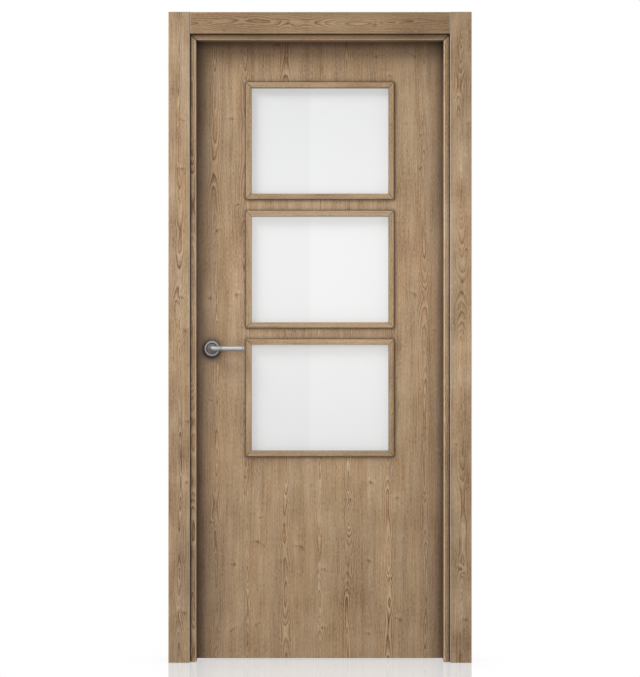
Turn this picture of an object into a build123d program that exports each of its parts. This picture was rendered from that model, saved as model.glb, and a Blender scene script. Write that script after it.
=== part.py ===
"""Prehung interior door: a rebated wood frame with architraves on both faces, a leaf with three
satin-glass lights in mitred beads, three lift-off hinges and a lever handle on round roses.

The origin lies on the wall side of the hinge jamb, at floor level, in the middle of the wall.
+X points from the latch to the hinges, +Y to the side that the leaf opens to, +Z up.  All in mm.
"""
import os

from build123d import *

# Leaf
leaf_width = 825.0
leaf_height = 2030.0
leaf_thickness = 35.0
skin_thickness = 4.0

# Room round the leaf
edge_gap = 5.0
floor_gap = 3.0
seal_gap = 5.0

# Frame
jamb_thickness = 30.0
stop_width = 50.0
rebate_step = 15.0
nose_radius = 4.0
stop_arris_radius = 1.5
mitre_line = 0.8

# Architraves
architrave_width = 70.0
architrave_thickness = 10.0
architrave_edge_radius = 2.5
front_reveal = 20.0
back_reveal = 8.0
tongue_thickness = 3.0
tongue_length = 10.0
tongue_end_room = 2.0
tongue_play = 0.2
shadow_gap = 2.0
butt_line = 0.4

# Seal in the stop
seal_place = 6.0
seal_stem_width = 3.0
seal_stem_length = 6.0
seal_bulb_width = 8.0
seal_air = 0.4

# Lights in the leaf
light_names = ("top", "middle", "bottom")
sight_width = 450.0
sight_height = 348.0
light_spacing = 37.0
light_top_margin = 138.5
bead_width = 18.5
bead_leg = 8.0
bead_proud = 8.0
bead_outer_radius = 4.0
bead_inner_radius = 1.5
glass_thickness = 4.0
glass_play = 2.0

# Hinges
hinge_end_distance = 200.0
hinge_height = 100.0
hinge_plate_thickness = 2.5
hinge_plate_reach = 28.0
knuckle_diameter = 13.0
knuckle_standoff = 8.5
knuckle_gap = 0.3
knuckle_end_chamfer = 2.0
pin_diameter = 8.0
pin_height = 42.0
pin_play = 0.05
pin_end_room = 1.5
pin_tip_chamfer = 1.0

# Handle
handle_height = 1020.0
backset = 58.0
rose_diameter = 52.0
rose_height = 8.0
rose_rim = 7.5
rose_rim_chamfer = 2.2
rose_dish_depth = 3.5
rose_dish_slope = 2.5
bearing_play = 0.08
neck_diameter = 17.0
neck_start = 0.5
bend_inner_radius = 1.5
lever_reach = 46.0
lever_length = 109.0
waist_diameter = 15.0
waist_place = 23.0
collar_diameter = 18.0
collar_place = 29.0
collar_ring = 2.0
collar_groove = 0.8
collar_groove_depth = 0.7
grip_start_diameter = 15.2
grip_end_diameter = 17.6
end_groove = 1.4
end_groove_depth = 1.2
end_cap_length = 7.0
end_cap_chamfer = 2.5
spindle_side = 8.0
spindle_hold = 22.0
spindle_play = 0.1
spindle_hole_diameter = 16.0

# Latch and strike plate
faceplate_height = 170.0
faceplate_width = 20.0
faceplate_thickness = 3.0
bolt_rise = 28.0
bolt_height = 34.0
bolt_width = 12.0
bolt_length = 24.0
bolt_play = 0.2
strike_height = 170.0
strike_width = 24.0
strike_thickness = 2.0
strike_window_height = 40.0
strike_window_width = 16.0
strike_pocket_depth = 9.0

# Planes across the door, along X
hinge_clear_x = -jamb_thickness
hinge_rebate_x = hinge_clear_x + rebate_step
leaf_hinge_x = hinge_rebate_x - edge_gap
leaf_latch_x = leaf_hinge_x - leaf_width
latch_rebate_x = leaf_latch_x - edge_gap
latch_clear_x = latch_rebate_x + rebate_step
leaf_middle_x = (leaf_hinge_x + leaf_latch_x) / 2

# Planes through the wall, along Y
jamb_depth = stop_width + seal_gap + leaf_thickness
front_y = -jamb_depth / 2
back_y = jamb_depth / 2
leaf_front_y = back_y - leaf_thickness
leaf_middle_y = back_y - leaf_thickness / 2
core_front_y = leaf_front_y + skin_thickness
core_back_y = back_y - skin_thickness

# Heights
leaf_top = floor_gap + leaf_height
clear_height = leaf_top + edge_gap - rebate_step
head_top = clear_height + jamb_thickness
aperture_width = sight_width + 2 * bead_leg
aperture_height = sight_height + 2 * bead_leg
aperture_left = leaf_middle_x - aperture_width / 2
aperture_right = leaf_middle_x + aperture_width / 2
bead_lap = bead_width - bead_leg
light_pitch = sight_height + 2 * bead_width + light_spacing
first_light_z = leaf_top - light_top_margin - bead_width - sight_height / 2
light_heights = [first_light_z - place * light_pitch for place in range(len(light_names))]

# Turning axes
spindle_x = leaf_latch_x + backset
bend_radius = neck_diameter / 2 + bend_inner_radius
hinge_x = (leaf_hinge_x + hinge_rebate_x) / 2
hinge_y = back_y + knuckle_standoff
hinge_heights = {
    "upper": leaf_top - hinge_end_distance,
    "middle": floor_gap + leaf_height / 2,
    "lower": floor_gap + hinge_end_distance,
}

corner = (Align.MIN, Align.MIN)
leaf_plane = Plane((0, leaf_middle_y, 0), x_dir=(1, 0, 0), z_dir=(0, -1, 0))
door_plane = Plane((leaf_middle_x, 0, 0), x_dir=(0, 1, 0), z_dir=(1, 0, 0))


def rectangle(x0, x1, y0, y1):
    """Rectangle between two corners."""
    return Pos(x0, y0) * Rectangle(x1 - x0, y1 - y0, align=corner)


def block(x0, x1, y0, y1, z0, z1):
    """Box between two corners."""
    return extrude(Pos(0, 0, z0) * rectangle(x0, x1, y0, y1), z1 - z0)


def round_corner(section, x, y, radius):
    """Rounds the corner of a section that lies nearest to a point."""
    return fillet(section.vertices().sort_by_distance((x, y, 0))[:1], radius)


def cut_corner(section, x, y, length):
    """Chamfers the corner of a section that lies nearest to a point."""
    return chamfer(section.vertices().sort_by_distance((x, y, 0))[:1], length)


# Frame: each section is drawn with x from the clear opening towards the wall, y from front to back


def tongue_slot(reveal, gap):
    """Slot in a jamb's front edge for an architrave's tongue, open by a gap beside the architrave."""
    far_side = reveal + tongue_thickness + tongue_play
    return rectangle(reveal - gap, far_side, 0, tongue_length + tongue_end_room)


def jamb_section():
    """Rebated jamb with a slot for each architrave and one for the seal."""
    section = rectangle(0, jamb_thickness, 0, jamb_depth)
    section -= rectangle(0, rebate_step, stop_width, jamb_depth)
    section -= tongue_slot(front_reveal, shadow_gap)
    back_slot = tongue_slot(rebate_step + back_reveal, tongue_play)
    section -= Pos(0, jamb_depth - tongue_length - tongue_end_room) * back_slot
    seal_side = seal_place - seal_stem_width / 2
    section -= rectangle(seal_side, seal_side + seal_stem_width, stop_width - seal_stem_length, stop_width)
    section = round_corner(section, 0, 0, nose_radius)
    return round_corner(section, 0, stop_width, stop_arris_radius)


def seal_section():
    """Stem in the stop's slot and a rounded bulb that all but reaches the leaf."""
    height = seal_gap - seal_air
    left = seal_place - seal_bulb_width / 2
    bulb = rectangle(left, left + seal_bulb_width, stop_width, stop_width + height)
    bulb = round_corner(bulb, left, stop_width + height, 0.7 * height)
    bulb = round_corner(bulb, left + seal_bulb_width, stop_width + height, 0.7 * height)
    stem_side = seal_place - seal_stem_width / 2
    stem = rectangle(stem_side, stem_side + seal_stem_width, stop_width - seal_stem_length, stop_width)
    return bulb + stem


def architrave_board(reveal):
    """Board section on the front face of the frame, with rounded outer edges."""
    board = rectangle(reveal, reveal + architrave_width, -architrave_thickness, 0)
    board = round_corner(board, reveal, -architrave_thickness, architrave_edge_radius)
    return round_corner(board, reveal + architrave_width, -architrave_thickness, architrave_edge_radius)


def architrave_tongue(reveal):
    """Tongue section at the inner edge of an architrave."""
    return rectangle(reveal, reveal + tongue_thickness, 0, tongue_length)


upright_plane = Plane((hinge_clear_x, front_y, 0), x_dir=(1, 0, 0), z_dir=(0, 0, 1))
mitre_hinge = Plane((hinge_clear_x, 0, clear_height), x_dir=(0, 1, 0), z_dir=(-1, 0, 1))
mitre_latch = Plane((latch_clear_x, 0, clear_height), x_dir=(0, 1, 0), z_dir=(1, 0, 1))


def head_plane(x):
    """Plane for a section of the head, facing the latch."""
    return Plane((x, front_y, clear_height), x_dir=(0, 0, 1), z_dir=(-1, 0, 0))


def mitred_upright(section):
    """Upright of the hinge side, mitred where it meets the head."""
    upright = extrude(upright_plane * section, head_top)
    return split(upright, bisect_by=mitre_hinge.offset(-mitre_line / 2), keep=Keep.BOTTOM)


def mitred_head(section):
    """Head between the two mitres."""
    length = jamb_thickness + hinge_clear_x - (latch_clear_x - jamb_thickness)
    head = extrude(head_plane(0) * section, length)
    for mitre in (mitre_hinge, mitre_latch):
        head = split(head, bisect_by=mitre.offset(mitre_line / 2), keep=Keep.TOP)
    return head


def to_latch_side(piece):
    """Mirror image of a piece on the other side of the doorway."""
    return mirror(piece, door_plane)


def architrave_leg(reveal):
    """Full-height architrave of the hinge side; its tongue stops below the head's."""
    board = extrude(upright_plane * architrave_board(reveal), clear_height + reveal + architrave_width)
    tongue = extrude(upright_plane * architrave_tongue(reveal), clear_height + reveal - butt_line)
    return board + tongue


def architrave_head(reveal):
    """Head architrave, butted between the two legs."""
    start = hinge_clear_x + reveal - butt_line
    length = start - (latch_clear_x - reveal + butt_line)
    return extrude(head_plane(start) * (architrave_board(reveal) + architrave_tongue(reveal)), length)


def to_back(piece):
    """Mirror image of a piece on the other face of the wall."""
    return mirror(piece, Plane.XZ)


# Leaf


def light_aperture(z, y0, y1):
    """Opening for one light through part of the leaf."""
    half_height = aperture_height / 2
    return block(aperture_left, aperture_right, y0, y1, z - half_height, z + half_height)


def spindle_hole(diameter, y0, y1):
    """Round hole along the spindle."""
    plane = Plane((spindle_x, y0, handle_height), x_dir=(1, 0, 0), z_dir=(0, 1, 0))
    return extrude(plane * Circle(diameter / 2), y1 - y0)


def leaf_skin(y0):
    """Face sheet with an opening for each light and a hole for the spindle."""
    y1 = y0 + skin_thickness
    sheet = block(leaf_latch_x, leaf_hinge_x, y0, y1, floor_gap, leaf_top)
    for z in light_heights:
        sheet -= light_aperture(z, y0, y1)
    return sheet - spindle_hole(spindle_hole_diameter, y0, y1)


def core(x0, x1, z0, z1):
    """Piece of the leaf's core, between the skins."""
    return block(x0, x1, core_front_y, core_back_y, z0, z1)


def core_rail(z0, z1):
    """Core between the stiles."""
    return core(aperture_left, aperture_right, z0, z1)


def bead_section():
    """Rebated bead, with x from the sight line outwards and y out from the leaf's face."""
    seat = (leaf_thickness - glass_thickness) / 2
    section = rectangle(0, bead_width, 0, bead_proud) + rectangle(0, bead_leg, -seat, bead_proud)
    section = round_corner(section, bead_width, bead_proud, bead_outer_radius)
    return round_corner(section, 0, bead_proud, bead_inner_radius)


def mitred_bead(half_along, half_across):
    """Bead along local x, with its sight line half_across from the middle of the light."""
    reach = half_along + bead_width
    plane = Plane((-reach, half_across, 0), x_dir=(0, 1, 0), z_dir=(1, 0, 0))
    bead = extrude(plane * bead_section(), 2 * reach)
    for side in (-1, 1):
        mitre = Plane((side * half_along, half_across, 0), x_dir=(0, 0, 1), z_dir=(side, -1, 0))
        bead = split(bead, bisect_by=mitre.offset(-mitre_line / 2), keep=Keep.BOTTOM)
    return bead


def bead_frame(z):
    """Four mitred beads round one light, on the front face of the leaf."""
    half_width = sight_width / 2
    half_height = sight_height / 2
    face = Plane((leaf_middle_x, leaf_front_y, z), x_dir=(1, 0, 0), z_dir=(0, -1, 0))
    level = mitred_bead(half_width, half_height)
    upright = mitred_bead(half_height, half_width)
    beads = [level, Rot(0, 0, 180) * level, Rot(0, 0, 90) * upright, Rot(0, 0, -90) * upright]
    return Compound(children=[face.location * bead for bead in beads])


def glass_pane(z):
    """Pane held between the front and the back beads."""
    half_width = aperture_width / 2 - glass_play
    half_height = aperture_height / 2 - glass_play
    y0 = leaf_middle_y - glass_thickness / 2
    return block(leaf_middle_x - half_width, leaf_middle_x + half_width, y0, y0 + glass_thickness,
                 z - half_height, z + half_height)


def to_leaf_back(piece):
    """Mirror image of a piece on the other face of the leaf."""
    return mirror(piece, leaf_plane)


# Hinges


def knuckle(z0, z1, free_end):
    """Barrel round the hinge axis, chamfered at its free end."""
    barrel = extrude(Pos(hinge_x, hinge_y, z0) * Circle(knuckle_diameter / 2), z1 - z0)
    edges = barrel.edges().filter_by(GeomType.CIRCLE).sort_by(Axis.Z)
    return chamfer(edges[-1:] if free_end == "top" else edges[:1], knuckle_end_chamfer)


def hinge_plate(x0, x1, z):
    """Plate let into an edge, flush with it."""
    half_height = hinge_height / 2
    return block(x0, x1, back_y - hinge_plate_reach, back_y, z - half_height, z + half_height)


def frame_plate(z):
    """Plate of the half on the jamb."""
    return hinge_plate(hinge_rebate_x, hinge_rebate_x + hinge_plate_thickness, z)


def leaf_plate(z):
    """Plate of the half on the leaf."""
    return hinge_plate(leaf_hinge_x - hinge_plate_thickness, leaf_hinge_x, z)


def hinge_frame_half(z):
    """Half on the jamb: plate, lower knuckle and the pin that the leaf's half drops over."""
    foot = z - hinge_height / 2
    shoulder = z - knuckle_gap / 2
    arm = block(hinge_rebate_x, hinge_rebate_x + hinge_plate_thickness, back_y, hinge_y, foot, shoulder)
    pin = extrude(Pos(hinge_x, hinge_y, shoulder) * Circle(pin_diameter / 2), pin_height)
    tip = pin.edges().filter_by(GeomType.CIRCLE).sort_by(Axis.Z)[-1:]
    return frame_plate(z) + arm + knuckle(foot, shoulder, "bottom") + chamfer(tip, pin_tip_chamfer)


def hinge_leaf_half(z):
    """Half on the leaf: plate and upper knuckle with a blind bore."""
    head = z + hinge_height / 2
    shoulder = z + knuckle_gap / 2
    arm = block(leaf_hinge_x - hinge_plate_thickness, leaf_hinge_x, back_y, hinge_y, shoulder, head)
    bore_depth = pin_height - knuckle_gap + pin_end_room
    bore = extrude(Pos(hinge_x, hinge_y, shoulder) * Circle(pin_diameter / 2 + pin_play), bore_depth)
    return leaf_plate(z) + arm + knuckle(shoulder, head, "top") - bore


# Handle: sections are drawn with y out from the leaf's face

handle_plane = Plane((spindle_x, leaf_front_y, handle_height), x_dir=(1, 0, 0), z_dir=(0, 0, -1))
spindle_axis = Axis((spindle_x, leaf_front_y, handle_height), (0, -1, 0))
grip_y = leaf_front_y - lever_reach
grip_plane = Plane((spindle_x, grip_y, handle_height), x_dir=(1, 0, 0), z_dir=(0, -1, 0))
grip_axis = Axis((spindle_x, grip_y, handle_height), (1, 0, 0))


def rose():
    """Round rose with a raised rim and a dished middle round the neck."""
    radius = rose_diameter / 2
    bore = neck_diameter / 2 + bearing_play
    dish = rose_height - rose_dish_depth
    outline = [
        (bore, 0),
        (radius, 0),
        (radius, rose_height),
        (radius - rose_rim, rose_height),
        (radius - rose_rim - rose_dish_slope, dish),
        (bore, dish),
    ]
    section = make_face(Polyline(*outline, close=True))
    section = cut_corner(section, radius, rose_height, rose_rim_chamfer)
    return revolve(handle_plane * section, spindle_axis, 360)


def neck():
    """Neck out of the rose and the bend towards the grip."""
    run = lever_reach - bend_radius
    start = Plane((spindle_x, leaf_front_y - neck_start, handle_height), x_dir=(1, 0, 0), z_dir=(0, -1, 0))
    bend = start.offset(run - neck_start)
    section = Circle(neck_diameter / 2)
    bend_axis = Axis((spindle_x + bend_radius, leaf_front_y - run, handle_height), (0, 0, 1))
    return extrude(start * section, run - neck_start) + revolve(bend * section, bend_axis, 90)


def turned_bar():
    """Bar after the bend: a waist, a collar of two rings, a swelling grip and a cap beyond a groove."""
    ring_end = collar_place + collar_ring
    groove_end = ring_end + collar_groove
    collar_end = groove_end + collar_ring
    collar_groove_radius = collar_diameter / 2 - collar_groove_depth
    cap_start = lever_length - end_cap_length
    grip_end = cap_start - end_groove
    cap_radius = grip_end_diameter / 2
    end_groove_radius = cap_radius - end_groove_depth
    outline = [
        (bend_radius, 0),
        (bend_radius, neck_diameter / 2),
        (waist_place, waist_diameter / 2),
        (collar_place, waist_diameter / 2),
        (collar_place, collar_diameter / 2),
        (ring_end, collar_diameter / 2),
        (ring_end, collar_groove_radius),
        (groove_end, collar_groove_radius),
        (groove_end, collar_diameter / 2),
        (collar_end, collar_diameter / 2),
        (collar_end, grip_start_diameter / 2),
        (grip_end, cap_radius),
        (grip_end, end_groove_radius),
        (cap_start, end_groove_radius),
        (cap_start, cap_radius),
        (lever_length, cap_radius),
        (lever_length, 0),
    ]
    section = make_face(Polyline(*outline, close=True))
    section = cut_corner(section, lever_length, cap_radius, end_cap_chamfer)
    return revolve(grip_plane * section, grip_axis, 360)


def spindle_bar(side, y0, y1):
    """Square bar along the spindle axis."""
    half = side / 2
    return block(spindle_x - half, spindle_x + half, y0, y1, handle_height - half, handle_height + half)


def lever():
    """Lever on the front face, with a square socket for the spindle."""
    socket = spindle_bar(spindle_side + spindle_play, leaf_front_y - spindle_hold, leaf_front_y)
    return neck() + turned_bar() - socket


# Latch


def edge_plate(x0, x1, width, height, z):
    """Plate let into an edge, in the middle of the leaf's thickness, with rounded ends."""
    plane = Plane((x0, leaf_middle_y, z), x_dir=(0, 1, 0), z_dir=(1, 0, 0))
    return extrude(plane * SlotOverall(height, width, rotation=90), x1 - x0)


def edge_block(x0, x1, width, height, z):
    """Block in the middle of the leaf's thickness."""
    return block(x0, x1, leaf_middle_y - width / 2, leaf_middle_y + width / 2, z - height / 2, z + height / 2)


bolt_z = handle_height + bolt_rise
faceplate = edge_plate(leaf_latch_x, leaf_latch_x + faceplate_thickness,
                       faceplate_width, faceplate_height, handle_height)
bolt = edge_block(leaf_latch_x, leaf_latch_x + bolt_length, bolt_width, bolt_height, bolt_z)
bolt_pocket = edge_block(leaf_latch_x, leaf_latch_x + bolt_length,
                         bolt_width + 2 * bolt_play, bolt_height + 2 * bolt_play, bolt_z)
strike = edge_plate(latch_rebate_x - strike_thickness, latch_rebate_x,
                    strike_width, strike_height, handle_height)
strike_window = edge_block(latch_rebate_x - strike_thickness - strike_pocket_depth, latch_rebate_x,
                           strike_window_width, strike_window_height, bolt_z)

# Pieces of the frame
nodes = {}
plain_jamb = mitred_upright(jamb_section())
seal = mitred_upright(seal_section())
nodes["hinge_jamb"] = plain_jamb
nodes["latch_jamb"] = to_latch_side(plain_jamb) - strike - strike_window
nodes["head_jamb"] = mitred_head(jamb_section())
nodes["seal_hinge"] = seal
nodes["seal_latch"] = to_latch_side(seal)
nodes["seal_head"] = mitred_head(seal_section())
nodes["strike_plate"] = strike - strike_window
front_leg = architrave_leg(front_reveal)
back_leg = to_back(architrave_leg(rebate_step + back_reveal))
nodes["front_architrave_hinge"] = front_leg
nodes["front_architrave_latch"] = to_latch_side(front_leg)
nodes["front_architrave_head"] = architrave_head(front_reveal)
nodes["back_architrave_hinge"] = back_leg
nodes["back_architrave_latch"] = to_latch_side(back_leg)
nodes["back_architrave_head"] = to_back(architrave_head(rebate_step + back_reveal))

# Pieces of the leaf
light_tops = [z + aperture_height / 2 for z in light_heights]
light_feet = [z - aperture_height / 2 for z in light_heights]
nodes["leaf_front_skin"] = leaf_skin(leaf_front_y)
nodes["leaf_back_skin"] = leaf_skin(core_back_y)
nodes["hinge_stile"] = core(aperture_right, leaf_hinge_x, floor_gap, leaf_top)
nodes["latch_stile"] = core(leaf_latch_x, aperture_left, floor_gap, leaf_top) - faceplate - bolt_pocket
nodes["latch_stile"] -= spindle_hole(spindle_hole_diameter, core_front_y, core_back_y)
nodes["top_rail"] = core_rail(light_tops[0], leaf_top)
nodes["upper_rail"] = core_rail(light_tops[1], light_feet[0])
nodes["lower_rail"] = core_rail(light_tops[2], light_feet[1])
nodes["bottom_panel"] = core_rail(floor_gap, light_feet[2])
nodes["lock_faceplate"] = faceplate - bolt_pocket
nodes["latch_bolt"] = bolt
for name, z in zip(light_names, light_heights):
    beads = bead_frame(z)
    nodes["front_beads_" + name] = beads
    nodes["back_beads_" + name] = to_leaf_back(beads)
    nodes["glass_" + name] = glass_pane(z)

# Hinges, let into the jamb and the leaf
for name, z in hinge_heights.items():
    nodes["hinge_jamb"] -= frame_plate(z)
    nodes["hinge_stile"] -= leaf_plate(z)
    nodes["leaf_back_skin"] -= leaf_plate(z)
    nodes["hinge_" + name + "_frame_half"] = hinge_frame_half(z)
    nodes["hinge_" + name + "_leaf_half"] = hinge_leaf_half(z)

# Handle
nodes["rose_front"] = rose()
nodes["rose_back"] = to_leaf_back(nodes["rose_front"])
nodes["lever_front"] = lever()
nodes["lever_back"] = to_leaf_back(nodes["lever_front"])
nodes["spindle"] = spindle_bar(spindle_side, leaf_front_y - spindle_hold, back_y + spindle_hold)

os.makedirs("parts", exist_ok=True)
for name, piece in nodes.items():
    export_step(piece, os.path.join("parts", name + ".step"))
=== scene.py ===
"""Looks of a prehung interior door: oak-grain foil, satin glass, satin nickel and rubber."""
import logging
import math
from dataclasses import dataclass, replace
from enum import Enum
from typing import Any, ClassVar, Dict, List, Mapping, Optional, Sequence, Tuple, Union

import bmesh
import bpy
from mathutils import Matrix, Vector

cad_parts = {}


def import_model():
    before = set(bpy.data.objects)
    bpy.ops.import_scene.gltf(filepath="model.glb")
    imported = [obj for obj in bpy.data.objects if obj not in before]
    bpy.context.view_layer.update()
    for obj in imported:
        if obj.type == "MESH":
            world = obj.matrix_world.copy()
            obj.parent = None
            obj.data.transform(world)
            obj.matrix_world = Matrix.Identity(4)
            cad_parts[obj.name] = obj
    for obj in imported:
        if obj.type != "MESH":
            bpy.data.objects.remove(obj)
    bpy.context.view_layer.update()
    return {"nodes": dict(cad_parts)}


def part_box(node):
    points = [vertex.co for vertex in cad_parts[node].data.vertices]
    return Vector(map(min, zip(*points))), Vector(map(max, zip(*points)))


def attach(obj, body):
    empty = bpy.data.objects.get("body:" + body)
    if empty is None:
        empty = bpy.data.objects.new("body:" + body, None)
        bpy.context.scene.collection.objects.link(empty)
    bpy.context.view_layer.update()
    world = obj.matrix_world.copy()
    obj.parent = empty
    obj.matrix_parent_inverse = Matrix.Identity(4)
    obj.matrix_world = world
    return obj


LOG = logging.getLogger("door")
IMAGE_WIDTH = 640
IMAGE_HEIGHT = 677

Colour = Tuple[float, float, float]
Key = Union[int, str]
WHITE: Colour = (1.0, 1.0, 1.0)
BLACK: Colour = (0.0, 0.0, 0.0)


def srgb(red: int, green: int, blue: int) -> Colour:
    """Turns a colour as seen on a screen into linear light.

    Args:
        red: Red, 0 to 255.
        green: Green, 0 to 255.
        blue: Blue, 0 to 255.

    Returns:
        The three linear values.
    """
    linear = []
    for level in (red, green, blue):
        share = level / 255
        linear.append(share / 12.92 if share <= 0.04045 else ((share + 0.055) / 1.055) ** 2.4)
    return linear[0], linear[1], linear[2]


def dimmed(colour: Colour, share: float) -> Colour:
    """Takes a share of a colour."""
    return share * colour[0], share * colour[1], share * colour[2]


class Value:
    """A float socket that takes part in arithmetic: each operation adds a Math node."""

    def __init__(self, sheet: "NodeSheet", socket: bpy.types.NodeSocket) -> None:
        """Wraps a socket of a sheet."""
        self.sheet = sheet
        self.socket = socket

    def __add__(self, other: "Operand") -> "Value":
        """Sum."""
        return self.sheet.math("ADD", self, other)

    def __radd__(self, other: float) -> "Value":
        """Sum with a number on the left."""
        return self.sheet.math("ADD", other, self)

    def __sub__(self, other: "Operand") -> "Value":
        """Difference."""
        return self.sheet.math("SUBTRACT", self, other)

    def __rsub__(self, other: float) -> "Value":
        """Difference from a number on the left."""
        return self.sheet.math("SUBTRACT", other, self)

    def __mul__(self, other: "Operand") -> "Value":
        """Product."""
        return self.sheet.math("MULTIPLY", self, other)

    def __rmul__(self, other: float) -> "Value":
        """Product with a number on the left."""
        return self.sheet.math("MULTIPLY", other, self)

    def __truediv__(self, other: "Operand") -> "Value":
        """Quotient."""
        return self.sheet.math("DIVIDE", self, other)

    def __rtruediv__(self, other: float) -> "Value":
        """Quotient of a number on the left."""
        return self.sheet.math("DIVIDE", other, self)

    def __pow__(self, other: "Operand") -> "Value":
        """Power."""
        return self.sheet.math("POWER", self, other)

    def __rpow__(self, other: float) -> "Value":
        """Power of a number on the left."""
        return self.sheet.math("POWER", other, self)

    def __neg__(self) -> "Value":
        """Opposite."""
        return self.sheet.math("MULTIPLY", self, -1.0)

    def __abs__(self) -> "Value":
        """Distance from zero."""
        return self.sheet.math("ABSOLUTE", self)

    def __gt__(self, other: "Operand") -> "Value":
        """1 where it is greater, else 0."""
        return self.sheet.math("GREATER_THAN", self, other)

    def __lt__(self, other: "Operand") -> "Value":
        """1 where it is less, else 0; also taken where a number on the left is greater."""
        return self.sheet.math("LESS_THAN", self, other)

    def exp(self) -> "Value":
        """Power of e."""
        return self.sheet.math("EXPONENT", self)

    def highest(self, other: "Operand") -> "Value":
        """The greater of the two."""
        return self.sheet.math("MAXIMUM", self, other)

    def floor(self) -> "Value":
        """Next whole number below."""
        return self.sheet.math("FLOOR", self)

    def fraction(self) -> "Value":
        """What is left over a whole number."""
        return self.sheet.math("FRACT", self)


Operand = Union[Value, float]


class NodeSheet:
    """A node tree that is filled through one node method."""

    SHADE_SAMPLES: ClassVar[int] = 6
    FLAT_NORMAL: ClassVar[float] = 0.99
    ROUND_NORMAL: ClassVar[float] = 0.80

    def __init__(self, tree: bpy.types.NodeTree) -> None:
        """Takes over a tree and empties it."""
        self.tree = tree
        self.tree.nodes.clear()

    @classmethod
    def of_material(cls, name: str) -> Tuple[bpy.types.Material, "NodeSheet"]:
        """Makes a material and the sheet of its nodes.

        Args:
            name: The material's name.

        Returns:
            The material and its sheet.
        """
        material = bpy.data.materials.new(name)
        material.use_nodes = True
        return material, cls(material.node_tree)

    def node(self, kind: str, settings: Optional[Mapping[str, Any]] = None,
             inputs: Optional[Mapping[Key, Any]] = None) -> bpy.types.Node:
        """Adds a node.

        Args:
            kind: The node's type.
            settings: What to set on it first; "stops" fills a ramp with (place, colour) pairs.
            inputs: Values or links of its sockets, by name or place.

        Returns:
            The node.
        """
        node = self.tree.nodes.new(kind)
        for name, setting in (settings or {}).items():
            if name == "stops":
                self._fill_ramp(node, setting)
            else:
                setattr(node, name, setting)
        for key, content in (inputs or {}).items():
            self._feed(node.inputs[key], content)
        return node

    @staticmethod
    def _fill_ramp(node: bpy.types.Node, stops: Sequence[Tuple[float, Colour]]) -> None:
        """Sets a ramp's stops.

        Args:
            node: The ramp.
            stops: Place and colour of each stop.
        """
        elements = node.color_ramp.elements
        while len(elements) < len(stops):
            elements.new(1.0)
        for element, (place, colour) in zip(elements, stops):
            element.position = place
            element.color = (*colour, 1.0)

    def _feed(self, socket: bpy.types.NodeSocket, content: Any) -> None:
        """Links a socket or sets its value.

        Args:
            socket: The socket.
            content: A value, a number, a colour or a link.
        """
        if isinstance(content, Value):
            content = content.socket
        if isinstance(content, bpy.types.NodeSocket):
            self.tree.links.new(content, socket)
        elif isinstance(content, tuple) and socket.type == "RGBA":
            socket.default_value = (*content, 1.0)
        else:
            socket.default_value = content

    def math(self, operation: str, *operands: Operand) -> Value:
        """Adds a Math node.

        Args:
            operation: The node's operation.
            *operands: Its values or links.

        Returns:
            Its result.
        """
        node = self.node("ShaderNodeMath", {"operation": operation}, dict(enumerate(operands)))
        return Value(self, node.outputs[0])

    def vector(self, x: Operand, y: Operand, z: Operand = 0.0) -> bpy.types.NodeSocket:
        """Joins three values into a vector."""
        return self.node("ShaderNodeCombineXYZ", None, {0: x, 1: y, 2: z}).outputs[0]

    def split(self, vector: bpy.types.NodeSocket) -> Tuple[Value, Value, Value]:
        """Splits a vector or a colour into three values."""
        node = self.node("ShaderNodeSeparateXYZ", None, {0: vector})
        return Value(self, node.outputs[0]), Value(self, node.outputs[1]), Value(self, node.outputs[2])

    def place(self) -> Tuple[Value, Value, Value]:
        """Place on the piece, in metres of the door's own frame."""
        return self.split(self.node("ShaderNodeTexCoord").outputs["Object"])

    def arris_highlight(self) -> Value:
        """Finds the rounded edges of pieces that lie square in the door's own frame, where a highlight is
        painted.

        Returns:
            1 on rounded edges and 0 on flat faces.
        """
        x, y, z = self.split(self.node("ShaderNodeTexCoord").outputs["Normal"])
        squareness = abs(x).highest(abs(y)).highest(abs(z))
        return self.step(-squareness, -self.FLAT_NORMAL, -self.ROUND_NORMAL)

    def shaded(self, colour: Any, reach: float, powers: Colour) -> bpy.types.NodeSocket:
        """Paints shade into a colour where other surfaces are near.

        Args:
            colour: A colour or a link.
            reach: How far the surfaces are looked for, in metres.
            powers: Strength of the shade in red, green and blue.

        Returns:
            The darker colour.
        """
        # Painted shade: ambient occlusion darkens the colour.
        nearby = self.node("ShaderNodeAmbientOcclusion", {"samples": self.SHADE_SAMPLES},
                           {"Distance": reach})
        openness = Value(self, nearby.outputs["AO"])
        shade = self.vector(openness ** powers[0], openness ** powers[1], openness ** powers[2])
        return self.mix(1.0, colour, shade, "MULTIPLY")

    def noise(self, x: Operand, y: Operand, z: Operand = 0.0, detail: float = 2.0,
              roughness: float = 0.5) -> Value:
        """Adds smooth noise of unit size.

        Args:
            x: First coordinate.
            y: Second coordinate.
            z: Third coordinate.
            detail: Number of finer layers.
            roughness: Strength of the finer layers.

        Returns:
            Noise about 0.5.
        """
        node = self.node("ShaderNodeTexNoise", {"noise_dimensions": "3D"},
                         {"Vector": self.vector(x, y, z), "Scale": 1.0, "Detail": detail,
                          "Roughness": roughness})
        return Value(self, node.outputs["Fac"])

    def step(self, value: Value, low: float, high: float) -> Value:
        """Rises smoothly from 0 to 1.

        Args:
            value: The value that is looked at.
            low: Where the rise starts.
            high: Where the rise ends.

        Returns:
            The height of the rise.
        """
        node = self.node("ShaderNodeMapRange", {"interpolation_type": "SMOOTHSTEP"},
                         {"Value": value, "From Min": low, "From Max": high})
        return Value(self, node.outputs[0])

    def ramp(self, value: Value, stops: Sequence[Tuple[float, Colour]]) -> bpy.types.NodeSocket:
        """Looks a value up on a row of colours."""
        return self.node("ShaderNodeValToRGB", {"stops": stops}, {"Fac": value}).outputs["Color"]

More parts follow.
